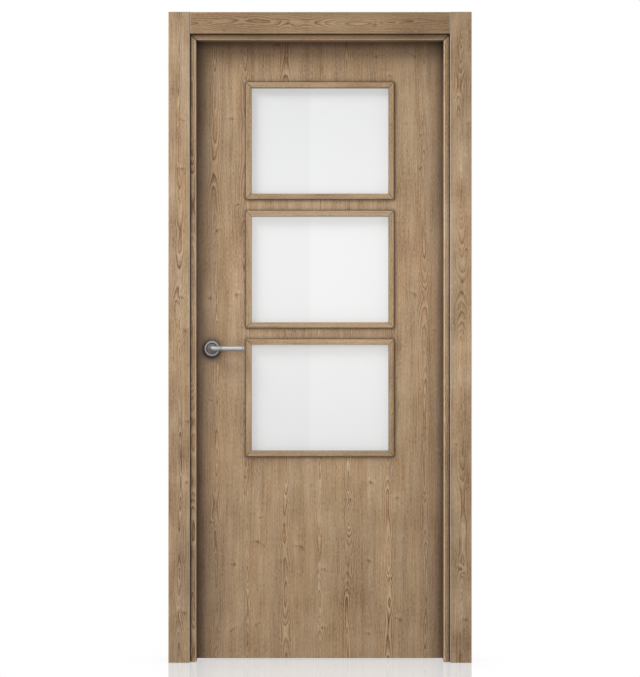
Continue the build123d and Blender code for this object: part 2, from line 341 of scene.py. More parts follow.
    def mix(self, factor: Operand, first: Any, second: Any, blend: str = "MIX") -> bpy.types.NodeSocket:
        """Mixes two colours.

        Args:
            factor: Share of the second colour.
            first: A colour or a link.
            second: A colour or a link.
            blend: Way of mixing.

        Returns:
            The mixed colour.
        """
        node = self.node("ShaderNodeMix", {"data_type": "RGBA", "blend_type": blend},
                         {0: factor, 6: first, 7: second})
        return node.outputs[2]

    @staticmethod
    def pick(mask: Value, off: Value, on: Value) -> Value:
        """Takes one value where a mask is 0 and another where it is 1."""
        return off + mask * (on - off)

    def bump(self, height: Value, strength: float, distance: float) -> bpy.types.NodeSocket:
        """Finds the normal of a surface with a height on it.

        Args:
            height: The height.
            strength: Share of the height that shows.
            distance: Depth of the height, in metres.

        Returns:
            The normal.
        """
        node = self.node("ShaderNodeBump", None,
                         {"Height": height, "Strength": strength, "Distance": distance})
        return node.outputs["Normal"]

    def surface(self, **inputs: Any) -> None:
        """Ends a material in a Principled shader.

        Args:
            **inputs: Values or links of its sockets, by names with underscores for blanks.
        """
        named = {name.replace("_", " "): content for name, content in inputs.items()}
        shader = self.node("ShaderNodeBsdfPrincipled", None, named)
        self.output("ShaderNodeOutputMaterial", shader.outputs[0])

    def output(self, kind: str, shader: bpy.types.NodeSocket) -> None:
        """Ends the tree in its output node."""
        self.node(kind, None, {"Surface": shader})


class Grain(Enum):
    """Way that the foil's grain runs on a piece."""

    UPRIGHT = "upright"
    LEVEL = "level"
    ROUND_LIGHT = "round_light"


@dataclass(frozen=True)
class MitredFrame:
    """Bars that meet in mitres: middle and half sizes of the rectangle whose corners the mitres pass."""

    x: float
    z: float
    half_width: float
    half_height: float

    @classmethod
    def of_beads(cls, node: str) -> "MitredFrame":
        """Measures the four beads round a light.

        Args:
            node: The beads.

        Returns:
            Their outer rectangle.
        """
        low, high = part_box(node)
        middle = (low + high) / 2
        return cls(middle.x, middle.z, (high.x - low.x) / 2, (high.z - low.z) / 2)

    @classmethod
    def of_doorway(cls) -> "MitredFrame":
        """Measures the clear opening between the jambs.

        Returns:
            Its rectangle, mirrored below the floor so that the mitres show at the top alone.
        """
        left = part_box("latch_jamb")[1].x
        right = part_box("hinge_jamb")[0].x
        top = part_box("head_jamb")[0].z
        return cls((left + right) / 2, 0.0, (right - left) / 2, top)


@dataclass(frozen=True)
class HandleShade:
    """Painted shadow on the leaf: a dark crescent below a rose, with a soft edge; lengths in metres."""

    x: float
    z: float
    radius: float
    reach: float = 0.008
    depth: float = 0.93
    offset: Tuple[float, float] = (-0.002, -0.006)

    @classmethod
    def of_rose(cls, node: str) -> "HandleShade":
        """Measures a rose."""
        low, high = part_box(node)
        return cls((low.x + high.x) / 2, (low.z + high.z) / 2, (high.x - low.x) / 2)

    def over(self, sheet: NodeSheet, colour: Any) -> bpy.types.NodeSocket:
        """Darkens a colour in the painted shadow.

        Args:
            sheet: The material's nodes.
            colour: A colour or a link.

        Returns:
            The darker colour.
        """
        x, _, z = sheet.place()
        beside = x - self.x - self.offset[0]
        above = z - self.z - self.offset[1]
        beyond = ((beside * beside + above * above) ** 0.5 - self.radius).highest(0.0)
        shade = self.depth * (beyond / -self.reach).exp()
        return sheet.mix(shade, colour, BLACK)


@dataclass(frozen=True)
class NoiseLayer:
    """Noise stretched along the grain: cells per metre across and along it, a seed, its share in a sum."""

    across: float
    along: float
    seed: float
    share: float = 1.0
    detail: float = 2.0
    roughness: float = 0.5

    def on(self, sheet: NodeSheet, across: Value, along: Value) -> Value:
        """Noise about 0.5, at a place across and along the grain."""
        return sheet.noise(across * self.across, along * self.along, self.seed, self.detail, self.roughness)

    def sway(self, sheet: NodeSheet, across: Value, along: Value) -> Value:
        """The noise's share, about 0."""
        return self.share * (self.on(sheet, across, along) - 0.5)


@dataclass(frozen=True)
class Scatter:
    """Cells with at most one spot each: mean width and length in metres, and the share with a spot."""

    LOOSENESS: ClassVar[float] = 0.9
    width: float
    length: float
    share: float

    def spots(self, sheet: NodeSheet, across: Value,
              along: Value) -> Tuple[Value, Value, Value, Value, Value]:
        """Finds the spot of the cell that a place is in.

        Args:
            sheet: The material's nodes.
            across: Place across the grain.
            along: Place along the grain.

        Returns:
            Distances from the spot across and along, 1 where there is one, and two chances of its own.
        """
        u = across / self.width
        v = along / self.length
        cells = sheet.node("ShaderNodeTexVoronoi", {"voronoi_dimensions": "2D", "feature": "F1"},
                           {"Vector": sheet.vector(u, v), "Scale": 1.0, "Randomness": self.LOOSENESS})
        centre_u, centre_v, _ = sheet.split(cells.outputs["Position"])
        chance, first, second = sheet.split(cells.outputs["Color"])
        present = chance > 1.0 - self.share
        return (u - centre_u) * self.width, (v - centre_v) * self.length, present, first, second


@dataclass(frozen=True)
class Knots:
    """Scattered knots, each with a torn curl of fibres beside it; lengths in metres."""

    places: Scatter = Scatter(0.075, 0.21, 0.55)
    size: float = 0.0052
    smallest: float = 0.3
    stretch: float = 1.5
    halo_fall: float = 0.06
    ragged_across: NoiseLayer = NoiseLayer(130.0, 110.0, 31.0, 0.006)
    ragged_along: NoiseLayer = NoiseLayer(110.0, 130.0, 33.0, 0.007)
    ragged_curl: NoiseLayer = NoiseLayer(120.0, 90.0, 19.0, 0.007)
    slant: float = 1.9
    bend: float = 16.0
    curl_offset: float = 0.012
    curl_reach: float = 0.006
    curl_widening: float = 0.011
    vein_width: float = 0.0026
    fan_offset: float = 0.009
    fan_width: float = 0.008
    halo_light: float = 0.04
    fan_light: float = 0.09
    core_dark: float = 0.26
    vein_dark: float = 0.17

    def draw(self, sheet: NodeSheet, across: Value, along: Value) -> Tuple[Value, Value]:
        """Draws the knots.

        Args:
            sheet: The material's nodes.
            across: Place across the grain.
            along: Place along the grain.

        Returns:
            The bent fibres round the knots, and how much lighter or darker the knots make the foil.
        """
        du, dv, present, first, second = self.places.spots(sheet, across, along)
        du = du + self.ragged_across.sway(sheet, across, along)
        dv = dv + self.ragged_along.sway(sheet, across, along)
        radius = self.size * (self.smallest + first)
        spread = (du / radius) ** 2.0 + (dv / (self.stretch * radius)) ** 2.0
        halo = (spread * -self.halo_fall).exp() * present
        core = (-spread).exp()
        slant = self.slant * (second - 0.5)
        curl = dv - slant * du + self.bend * du * du + self.ragged_curl.sway(sheet, across, along)
        side = (du - self.curl_offset * slant) / (self.curl_reach + self.curl_widening * first)
        vein = (-((curl / self.vein_width) ** 2.0) - side * side).exp()
        fan = (-(((curl - self.fan_offset) / self.fan_width) ** 2.0) - side * side).exp()
        lighter = self.halo_light * halo + self.fan_light * fan
        darker = self.core_dark * core + self.vein_dark * vein
        return halo, (lighter - darker) * present


@dataclass(frozen=True)
class Marks:
    """Short dark dashes along the grain; lengths in metres."""

    places: Scatter = Scatter(0.026, 0.085, 0.32)
    narrowest: float = 0.0010
    widening: float = 0.0014
    half_length: float = 0.0045
    dark: float = 0.18

    def draw(self, sheet: NodeSheet, across: Value, along: Value) -> Value:
        """Draws the dashes.

        Args:
            sheet: The material's nodes.
            across: Place across the grain.
            along: Place along the grain.

        Returns:
            How much darker the dashes make the foil.
        """
        du, dv, present, first, _ = self.places.spots(sheet, across, along)
        width = self.narrowest + self.widening * first
        return self.dark * (-((du / width) ** 2.0) - (dv / self.half_length) ** 2.0).exp() * present


@dataclass(frozen=True)
class GrowthRings:
    """Growth rings of each plank, cut at a changing depth: arches and spindles up its middle.

    Lengths are in metres. The flame is the stretch up a plank's middle where the rings show most.
    """

    RING_TONES: ClassVar[Sequence[Tuple[float, float]]] = (
        (0.0, 0.56), (0.14, 0.76), (0.40, 0.60), (0.74, 0.34), (0.90, 0.02), (1.0, 0.56))
    RINGS_APART: ClassVar[float] = 37.0
    plank_width: float = 0.113
    plank_start: float = -0.8245
    pitch: float = 0.0085
    squeeze: float = 1.8
    aside: float = 0.25
    drift: NoiseLayer = NoiseLayer(7.7, 1.7, 21.0, 0.05)
    cut: NoiseLayer = NoiseLayer(3.1, 1.5, 13.0, 0.27, 3.0)
    cut_spread: float = 0.03
    ragged: NoiseLayer = NoiseLayer(160.0, 60.0, 35.0, 0.0016)
    uneven: NoiseLayer = NoiseLayer(20.0, 6.0, 17.0, 2.0)
    start_spread: float = 9.0
    knot_pull: float = 1.5
    faintest_ring: float = 0.3
    ring_spread: float = 0.9
    flame_reach: float = 0.021
    narrowest_flame: float = 0.3
    flame_swell: NoiseLayer = NoiseLayer(9.1, 2.3, 23.0, 1.4)
    flame_shown: NoiseLayer = NoiseLayer(5.3, 2.6, 15.0)
    flame_from: float = 0.30
    flame_blend: float = 0.26
    beside_flame: float = 0.22
    round_knots: float = 0.35

    def draw(self, sheet: NodeSheet, line: Value, along: Value, halo: Value) -> Value:
        """Draws the rings.

        Args:
            sheet: The material's nodes.
            line: Place across the grain, along a wavy fibre.
            along: Place along the grain.
            halo: The bent fibres round the knots.

        Returns:
            Light (above 0) and dark (below 0) lines.
        """
        cell = (line - self.plank_start) / self.plank_width
        number = cell.floor()
        chance = sheet.node("ShaderNodeTexWhiteNoise", {"noise_dimensions": "1D"}, {"W": number})
        aside, start, slope = sheet.split(chance.outputs["Color"])
        axis = self.aside * self.plank_width * (aside - 0.5) + self.drift.sway(sheet, number, along)
        off_axis = (cell - number - 0.5) * self.plank_width - axis
        cut = self.cut.sway(sheet, number, along) + self.cut_spread * (slope - 0.5)
        off_centre = self.squeeze * off_axis + self.ragged.sway(sheet, line, along)
        radius = (off_centre ** 2.0 + cut * cut) ** 0.5
        uneven = self.uneven.share * self.uneven.on(sheet, line, along)
        phase = radius / self.pitch + uneven + self.start_spread * start + self.knot_pull * halo
        stops = [(place, (tone, tone, tone)) for place, tone in self.RING_TONES]
        level, _, _ = sheet.split(sheet.ramp(phase.fraction(), stops))
        ring = sheet.node("ShaderNodeTexWhiteNoise", {"noise_dimensions": "1D"},
                          {"W": phase.floor() + self.RINGS_APART * number})
        strength = self.faintest_ring + self.ring_spread * Value(sheet, ring.outputs["Value"])
        swell = self.flame_swell.share * self.flame_swell.on(sheet, number, along)
        near = (-((off_axis / (self.flame_reach * (self.narrowest_flame + swell))) ** 2.0)).exp()
        shown = sheet.step(self.flame_shown.on(sheet, number, along),
                           self.flame_from, self.flame_from + self.flame_blend)
        return (level - 0.5) * strength * (near * shown + self.beside_flame + self.round_knots * halo)


@dataclass(frozen=True)
class OakFoil:
    """Satin foil with the figure of knotty oak: planks with a flame each, streaks, flecks and knots."""

    knot: Colour = srgb(98, 71, 48)
    dark: Colour = srgb(134, 105, 77)
    middle: Colour = srgb(163, 135, 105)
    light: Colour = srgb(182, 155, 125)
    pale: Colour = srgb(200, 177, 147)
    tone_places: Sequence[float] = (0.02, 0.28, 0.50, 0.72, 0.95)
    tint: Colour = WHITE
    mean_tone: float = 0.52
    contrast: float = 1.0
    lean: NoiseLayer = NoiseLayer(2.2, 1.1, 2.0, 0.016)
    wobble: NoiseLayer = NoiseLayer(30.0, 9.0, 5.0, 0.0030)
    streaks: NoiseLayer = NoiseLayer(210.0, 4.5, 1.0, 0.46, 3.0)
    pores: NoiseLayer = NoiseLayer(340.0, 85.0, 27.0, 0.60, 2.0, 0.6)
    bands: NoiseLayer = NoiseLayer(36.0, 1.8, 25.0, 0.46)
    broad: NoiseLayer = NoiseLayer(8.0, 2.4, 3.0, 0.34)
    clouds: NoiseLayer = NoiseLayer(15.0, 8.0, 29.0, 0.36)
    fibres: NoiseLayer = NoiseLayer(520.0, 14.0, 7.0, 0.42, 2.0, 0.6)
    flecks: NoiseLayer = NoiseLayer(420.0, 24.0, 9.0, 0.12, 1.0)
    fleck_edges: Tuple[float, float] = (0.64, 0.76)
    rings: GrowthRings = GrowthRings()
    ring_share: float = 0.68
    knots: Knots = Knots()
    marks: Marks = Marks()
    warm_streaks: NoiseLayer = NoiseLayer(26.0, 2.0, 11.0)
    warm_edges: Tuple[float, float] = (0.40, 0.64)
    warm_tint: Colour = (1.02, 0.965, 0.885)
    ring_edges: Tuple[float, float] = (0.04, 0.24)
    ring_tint: Colour = (1.04, 0.96, 0.86)
    # Painted highlight on rounded edges: its colour and how much of it shows.
    arris_highlight: Colour = srgb(222, 198, 166)
    arris_highlight_share: float = 0.6
    # Painted highlight along butt joints: its pale colour, width and share.
    seam_highlight: Colour = srgb(172, 162, 151)
    seam_highlight_line: float = 0.0036
    seam_highlight_share: float = 0.9
    mitre: Colour = srgb(98, 71, 48)
    mitre_line: float = 0.0026
    mitre_depth: float = 0.9
    # Painted shade in corners and in narrow creases: how far it reaches and how strong it is.
    corner_shade_reach: float = 0.18
    corner_shade_power: float = 1.25
    contact_shade_reach: float = 0.026
    contact_shade_power: float = 1.2
    shade_powers: Colour = (0.92, 1.02, 1.05)
    roughness: float = 0.5
    fibre_roughness: float = 0.16
    fleck_roughness: float = 0.10
    specular: float = 0.35
    fleck_relief: float = 0.6
    relief_strength: float = 0.25
    relief_depth: float = 0.0004

    def on_board(self, start: float, width: float) -> "OakFoil":
        """The same foil with one plank over a board's width."""
        return replace(self, rings=replace(self.rings, plank_start=start, plank_width=width))

    def material(self, name: str, grain: Grain, bars: Optional[MitredFrame] = None,
                 shift: float = 0.0, shade: Optional[HandleShade] = None,
                 seams: Optional[Tuple[float, float]] = None) -> bpy.types.Material:
        """Makes the foil for pieces with one way of grain.

        Args:
            name: The material's name.
            grain: Way of the grain.
            bars: The mitred bars that the foil is on, if it shows their mitres.
            shift: Moves the figure along the grain, in metres.
            shade: The painted shadow of a handle, if the foil lies behind one.
            seams: Places along X of two upright butt joints, along which a pale highlight is painted.

        Returns:
            The material.
        """
        material, sheet = NodeSheet.of_material(name)
        across, along, mitre = self._directions(sheet, grain, bars)
        along = along + shift
        line = across + self.lean.sway(sheet, across, along) + self.wobble.sway(sheet, across, along)
        fibres = self.fibres.on(sheet, line, along)
        flecks = sheet.step(self.flecks.on(sheet, line, along), *self.fleck_edges)
        colour = self._figure(sheet, across, line, along, fibres, flecks)
        colour = sheet.mix(1.0, colour, self.tint, "MULTIPLY")
        # Painted highlight: rounded edges are lightened towards a pale colour.
        colour = sheet.mix(self.arris_highlight_share * sheet.arris_highlight(), colour, self.arris_highlight)
        # Painted highlight: a pale line along each upright butt joint.
        if seams is not None:
            beside = abs(sheet.place()[0] - (seams[0] + seams[1]) / 2)
            apart = abs(beside - (seams[1] - seams[0]) / 2)
            seam_highlight = self.seam_highlight_share * (1.0 - sheet.step(apart, 0.0, self.seam_highlight_line))
            colour = sheet.mix(seam_highlight, colour, self.seam_highlight)
        if mitre is not None:
            joint = self.mitre_depth * (1.0 - sheet.step(mitre, 0.0, self.mitre_line))
            colour = sheet.mix(joint, colour, self.mitre)
        # Painted shade: darker in corners and creases, where other surfaces are near.
        colour = sheet.shaded(colour, self.corner_shade_reach, self._warm(self.corner_shade_power))
        colour = sheet.shaded(colour, self.contact_shade_reach, self._warm(self.contact_shade_power))
        # Painted shadow of the handle below the rose.
        if shade is not None:
            colour = shade.over(sheet, colour)
        rough = self.roughness + self.fibre_roughness * (fibres - 0.5) + self.fleck_roughness * flecks
        relief = fibres - self.fleck_relief * flecks
        sheet.surface(Base_Color=colour, Roughness=rough, Specular_IOR_Level=self.specular,
                      Normal=sheet.bump(relief, self.relief_strength, self.relief_depth))
        return material

    def _figure(self, sheet: NodeSheet, across: Value, line: Value, along: Value, fibres: Value,
                flecks: Value) -> bpy.types.NodeSocket:
        """Colour of the wood's figure.

        Args:
            sheet: The material's nodes.
            across: Place across the grain.
            line: Place across the grain, along a wavy fibre.
            along: Place along the grain.
            fibres: The fine fibres.
            flecks: 1 in the dark flecks.

        Returns:
            The colour.
        """
        halo, knots = self.knots.draw(sheet, across, along)
        rings = self.rings.draw(sheet, line, along, halo)
        figure = self.fibres.share * (fibres - 0.5) + self.ring_share * rings + knots
        for layer in (self.streaks, self.pores, self.bands):
            figure = figure + layer.sway(sheet, line, along)
        for layer in (self.broad, self.clouds):
            figure = figure + layer.sway(sheet, across, along)
        figure = figure - self.flecks.share * flecks - self.marks.draw(sheet, line, along)
        tones = (self.knot, self.dark, self.middle, self.light, self.pale)
        colour = sheet.ramp(self.mean_tone + self.contrast * figure, list(zip(self.tone_places, tones)))
        warmth = sheet.step(self.warm_streaks.on(sheet, line, along), *self.warm_edges)
        colour = sheet.mix(warmth, colour, self.warm_tint, "MULTIPLY")
        return sheet.mix(sheet.step(-rings, *self.ring_edges), colour, self.ring_tint, "MULTIPLY")

    def _warm(self, power: float) -> Colour:
        """Strength of a shade that keeps more of the red."""
        return dimmed(self.shade_powers, power)

    @staticmethod
    def _directions(sheet: NodeSheet, grain: Grain,
                    bars: Optional[MitredFrame]) -> Tuple[Value, Value, Optional[Value]]:
        """Finds the way of the grain.

        Args:
            sheet: The material's nodes.
            grain: Way of the grain.
            bars: The mitred bars that the foil is on, if it shows their mitres.

        Returns:
            Places across and along the grain, and the distance from a mitre, in metres.
        """
        x, y, z = sheet.place()
        upright = (x + y, z)
        level = (z + y, x)
        across, along = level if grain is Grain.LEVEL else upright
        if bars is None:
            return across, along, None
        beside = abs(x - bars.x) - bars.half_width
        above = abs(z - bars.z) - bars.half_height
        if grain is Grain.ROUND_LIGHT:
            is_upright = beside > above
            across = sheet.pick(is_upright, level[0], upright[0])
            along = sheet.pick(is_upright, level[1], upright[1])
        return across, along, abs(beside - above)


@dataclass(frozen=True)
class SatinGlass:
    """White satin-etched glass, a little see-through; it gives off painted light of its own, which stands
    in for light scattered inside it.
    """

    colour: Colour = (0.44, 0.44, 0.44)
    cloud_dip: float = 0.97
    clouds_per_metre: float = 7.0
    painted_glow: float = 0.36
    roughness: float = 0.42
    refraction: float = 1.5
    etch_per_metre: float = 1400.0
    etch_roughness: float = 0.12
    etch_strength: float = 0.12
    etch_depth: float = 0.0001
    edge_shade_reach: float = 0.06
    edge_shade_power: float = 0.12
    clearness: float = 0.08
    painted_reflection_from: float = -0.472
    painted_reflection_blend: float = 0.012
    painted_reflection: float = 0.92

    def material(self, name: str) -> bpy.types.Material:
        """Makes the glass.

        Args:
            name: The material's name.

        Returns:
            The material.
        """
        material, sheet = NodeSheet.of_material(name)
        x, y, z = sheet.place()
        cloud = sheet.noise(x * self.clouds_per_metre, z * self.clouds_per_metre, y)
        etch = sheet.noise(*(place * self.etch_per_metre for place in (x, z, y)))
        colour = sheet.mix(cloud, self.colour, dimmed(self.colour, self.cloud_dip))
        # Painted reflection: the glass is darker left of a soft upright line.
        beyond = sheet.step(x, self.painted_reflection_from, self.painted_reflection_from + self.painted_reflection_blend)
        colour = sheet.mix(beyond, sheet.mix(1.0, colour, dimmed(WHITE, self.painted_reflection), "MULTIPLY"), colour)
        # Painted shade near the edges of the pane.
        colour = sheet.shaded(colour, self.edge_shade_reach, dimmed(WHITE, self.edge_shade_power))
        rough = self.roughness + self.etch_roughness * (etch - 0.5)
        # Painted light: the pane glows though it is no lamp.
        sheet.surface(Base_Color=colour, Roughness=rough, IOR=self.refraction,
                      Transmission_Weight=self.clearness, Emission_Color=WHITE, Emission_Strength=self.painted_glow,
                      Normal=sheet.bump(etch, self.etch_strength, self.etch_depth))
        return material


@dataclass(frozen=True)
class SatinNickel:
    """Brushed nickel plate with painted shade in its recesses, and an optional stretch that is polished."""

    colour: Colour = (0.33, 0.324, 0.314)
    polished_colour: Colour = (0.32, 0.316, 0.309)
    roughness: float = 0.58
    polished_roughness: float = 0.54
    polished_spread: float = 0.06
    brush_lines: Tuple[float, float] = (160.0, 900.0)
    brush_roughness: float = 0.16
    brush_strength: float = 0.05
    brush_depth: float = 0.0002
    stains_per_metre: float = 30.0
    stain_dip: float = 0.9
    stain_roughness: float = 0.10
    recess_shade_reach: float = 0.03
    recess_shade_power: float = 1.6

    def material(self, name: str, polished_from: Optional[float] = None) -> bpy.types.Material:
        """Makes the plate.

        Args:
            name: The material's name.
            polished_from: Place along X, in metres, beyond which it is polished.

        Returns:
            The material.
        """
        material, sheet = NodeSheet.of_material(name)
        x, y, z = sheet.place()
        lengthwise, crosswise = self.brush_lines
        brushed = sheet.noise(x * lengthwise, y * crosswise, z * crosswise)
        stain = sheet.noise(*(place * self.stains_per_metre for place in (x, y, z)))
        colour = sheet.mix(stain, self.colour, dimmed(self.colour, self.stain_dip))
        rough = self.roughness + self.brush_roughness * (brushed - 0.5)
        rough = rough + self.stain_roughness * (stain - 0.5)
        if polished_from is not None:
            polished = x > polished_from
            colour = sheet.mix(polished, colour, self.polished_colour)
            smooth = self.polished_roughness + self.polished_spread * (stain - 0.5)
            rough = sheet.pick(polished, rough, smooth)
        # Painted shade in the recesses.
        colour = sheet.shaded(colour, self.recess_shade_reach, dimmed(WHITE, self.recess_shade_power))
        sheet.surface(Base_Color=colour, Metallic=1.0, Roughness=rough,
                      Normal=sheet.bump(brushed, self.brush_strength, self.brush_depth))
        return material


@dataclass(frozen=True)
class SealRubber:
    """Matt brown rubber."""

    colour: Colour = srgb(74, 58, 44)
    roughness: float = 0.7
    dust_per_metre: Tuple[float, float, float] = (60.0, 60.0, 20.0)
    dust_detail: float = 3.0
    dust_dip: float = 0.7
    dust_roughness: float = 0.2
    dust_strength: float = 0.1
    dust_depth: float = 0.0002

    def material(self, name: str) -> bpy.types.Material:
        """Makes the rubber.

        Args:
            name: The material's name.

        Returns:
            The material.
        """
        material, sheet = NodeSheet.of_material(name)
        scaled = [place * scale for place, scale in zip(sheet.place(), self.dust_per_metre)]
        dust = sheet.noise(*scaled, self.dust_detail)
        colour = sheet.mix(dust, self.colour, dimmed(self.colour, self.dust_dip))
        sheet.surface(Base_Color=colour, Roughness=self.roughness + self.dust_roughness * (dust - 0.5),
                      Normal=sheet.bump(dust, self.dust_strength, self.dust_depth))
        return material


def dress(nodes: Mapping[str, bpy.types.Object], names: Sequence[str],
          material: bpy.types.Material) -> None:
    """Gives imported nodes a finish.

    Args:
        nodes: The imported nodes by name.
        names: The nodes to dress.
        material: The finish.
    """
    for name in names:
        slots = nodes[name].data.materials
        slots.clear()
        slots.append(material)
        LOG.info("dressed %s in %s", name, material.name)


@dataclass
class DoorFrame:
    """Jambs, architraves and seals."""

    nodes: Mapping[str, bpy.types.Object]
    jamb_foil: OakFoil = OakFoil(contrast=1.2, tint=(0.94, 0.965, 0.945), arris_highlight_share=0.85,
                                 contact_shade_power=0.7, mitre=srgb(34, 25, 18), mitre_line=0.0045)
    leg_foil: OakFoil = OakFoil(contrast=1.02, tint=(0.94, 0.965, 0.965), arris_highlight_share=0.85,
                                contact_shade_power=0.4, clouds=replace(OakFoil.clouds, share=0.75),
                                rings=GrowthRings(flame_from=0.24, flame_reach=0.016))
    leg_shift: float = 0.37
    # The head pieces' darker, yellower tint is partly the foil's own tone and partly painted shade at the
    # top of the frame.
    head_foil: OakFoil = OakFoil(contrast=0.95, tint=(0.75, 0.725, 0.665), corner_shade_power=0.8,
                                 contact_shade_power=0.7, mitre=srgb(34, 25, 18), mitre_line=0.0045,
                                 rings=GrowthRings(flame_from=0.16))
    head_shift: float = 0.21
    rubber: SealRubber = SealRubber()

    def dress(self) -> None:
        """Wraps the wood in foil and colours the seals."""
        doorway = MitredFrame.of_doorway()
        jambs = self.jamb_foil.material("oak_jambs", Grain.UPRIGHT, doorway, self.leg_shift)
        dress(self.nodes, ["hinge_jamb", "latch_jamb"], jambs)
        for face in ("front", "back"):
            self._dress_architraves(face)
        head_jamb = self.head_foil.material("oak_head_jamb", Grain.LEVEL, doorway, self.head_shift)
        dress(self.nodes, ["head_jamb"], head_jamb)
        rubber = self.rubber.material("seal_rubber")
        dress(self.nodes, ["seal_hinge", "seal_latch", "seal_head"], rubber)

    def _dress_architraves(self, face: str) -> None:
        """Wraps the legs and the head on one face of the wall.

        Args:
            face: The face, "front" or "back".
        """
        low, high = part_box(face + "_architrave_latch")
        leg_foil = self.leg_foil.on_board(low.x + low.y, high.x - low.x)
        seams = (high.x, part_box(face + "_architrave_hinge")[0].x)
        legs = leg_foil.material("oak_legs_" + face, Grain.UPRIGHT, shift=self.leg_shift, seams=seams)
        dress(self.nodes, [face + "_architrave_hinge", face + "_architrave_latch"], legs)
        low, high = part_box(face + "_architrave_head")
        head_foil = self.head_foil.on_board(low.z + low.y, high.z - low.z)
        head = head_foil.material("oak_head_" + face, Grain.LEVEL, shift=self.head_shift, seams=seams)
        dress(self.nodes, [face + "_architrave_head"], head)


@dataclass
class GlazedLeaf:
    """Leaf with three lights."""

    nodes: Mapping[str, bpy.types.Object]
    foil: OakFoil = OakFoil(tint=(1.02, 1.045, 1.03))
    bead_foil: OakFoil = OakFoil(tint=(0.92, 0.94, 0.90), arris_highlight_share=0.3, ring_share=0.15,
                                 knots=Knots(places=replace(Knots.places, share=0.0)))
    bead_shift: float = 0.11
    glass: SatinGlass = SatinGlass()
    lights: Sequence[str] = ("top", "middle", "bottom")
    core: Sequence[str] = ("hinge_stile", "latch_stile", "top_rail", "upper_rail", "lower_rail",
                           "bottom_panel")

    def dress(self) -> None:
        """Wraps skins, edges and beads in foil and dresses the panes."""
        shade = HandleShade.of_rose("rose_front")
        upright = self.foil.material("oak_upright_leaf", Grain.UPRIGHT, shade=shade)
        dress(self.nodes, ["leaf_front_skin", "leaf_back_skin", *self.core], upright)
        pane = self.glass.material("satin_glass")
        for name in self.lights:
            bars = MitredFrame.of_beads("front_beads_" + name)
            beads = self.bead_foil.material("oak_beads_" + name, Grain.ROUND_LIGHT, bars, self.bead_shift)
            dress(self.nodes, ["front_beads_" + name, "back_beads_" + name], beads)
            dress(self.nodes, ["glass_" + name], pane)


@dataclass(frozen=True)
class ScrewHead:
    """Countersunk head with a cross recess; lengths in metres."""

    RECESS_SLOT: ClassVar[int] = 1
    NEAR_ZERO: ClassVar[float] = 1e-6
    radius: float = 0.004
    rim: float = 0.0034
    proud: float = 0.0004
    sunk: float = 0.0015
    arm_length: float = 0.0022
    arm_half_width: float = 0.0005
    recess_depth: float = 0.00034
    recess_narrowing: float = 0.7
    sides: int = 32

    def _cross(self, angle: float) -> float:
        """Measures the outline of the cross.

        Args:
            angle: Angle round the middle.

        Returns:
            Distance from the middle to the outline.
        """
        turned = (angle + math.pi / 4) % (math.pi / 2) - math.pi / 4
        along_arm = self.arm_length / math.cos(turned)
        across_arm = self.arm_half_width / max(abs(math.sin(turned)), self.NEAR_ZERO)
        return min(along_arm, across_arm)

    def add(self, mesh: bmesh.types.BMesh, middle: Vector, facing: float, turn: float) -> None:
        """Adds a head to a mesh.

        Args:
            mesh: The mesh.
            middle: Middle of the head on its plate.
            facing: 1 where the plate faces +X, -1 where it faces -X.
            turn: Angle of the cross.
        """
        angles = [2 * math.pi * side / self.sides for side in range(self.sides)]
        floor = self.proud - self.recess_depth
        outlines = [
            ([self.radius] * self.sides, -self.sunk),
            ([self.radius] * self.sides, 0.0),
            ([self.rim] * self.sides, self.proud),
            ([self._cross(angle) for angle in angles], self.proud),
            ([self.recess_narrowing * self._cross(angle) for angle in angles], floor),
        ]
        rings = []
        for radii, height in outlines:
            ring = []
            for angle, radius in zip(angles, radii):
                turned = angle + turn
                around = Vector((facing * height, radius * math.cos(turned), radius * math.sin(turned)))
                ring.append(mesh.verts.new(middle + around))
            rings.append(ring)
        for lower, upper in zip(rings, rings[1:]):
            for side in range(self.sides):
                following = (side + 1) % self.sides
                mesh.faces.new((lower[side], lower[following], upper[following], upper[side]))
        mesh.faces.new(rings[0])
        tip = mesh.verts.new(middle + Vector((facing * floor, 0.0, 0.0)))
        for side in range(self.sides):
            recess = mesh.faces.new((rings[-1][side], rings[-1][(side + 1) % self.sides], tip))
            recess.material_index = self.RECESS_SLOT


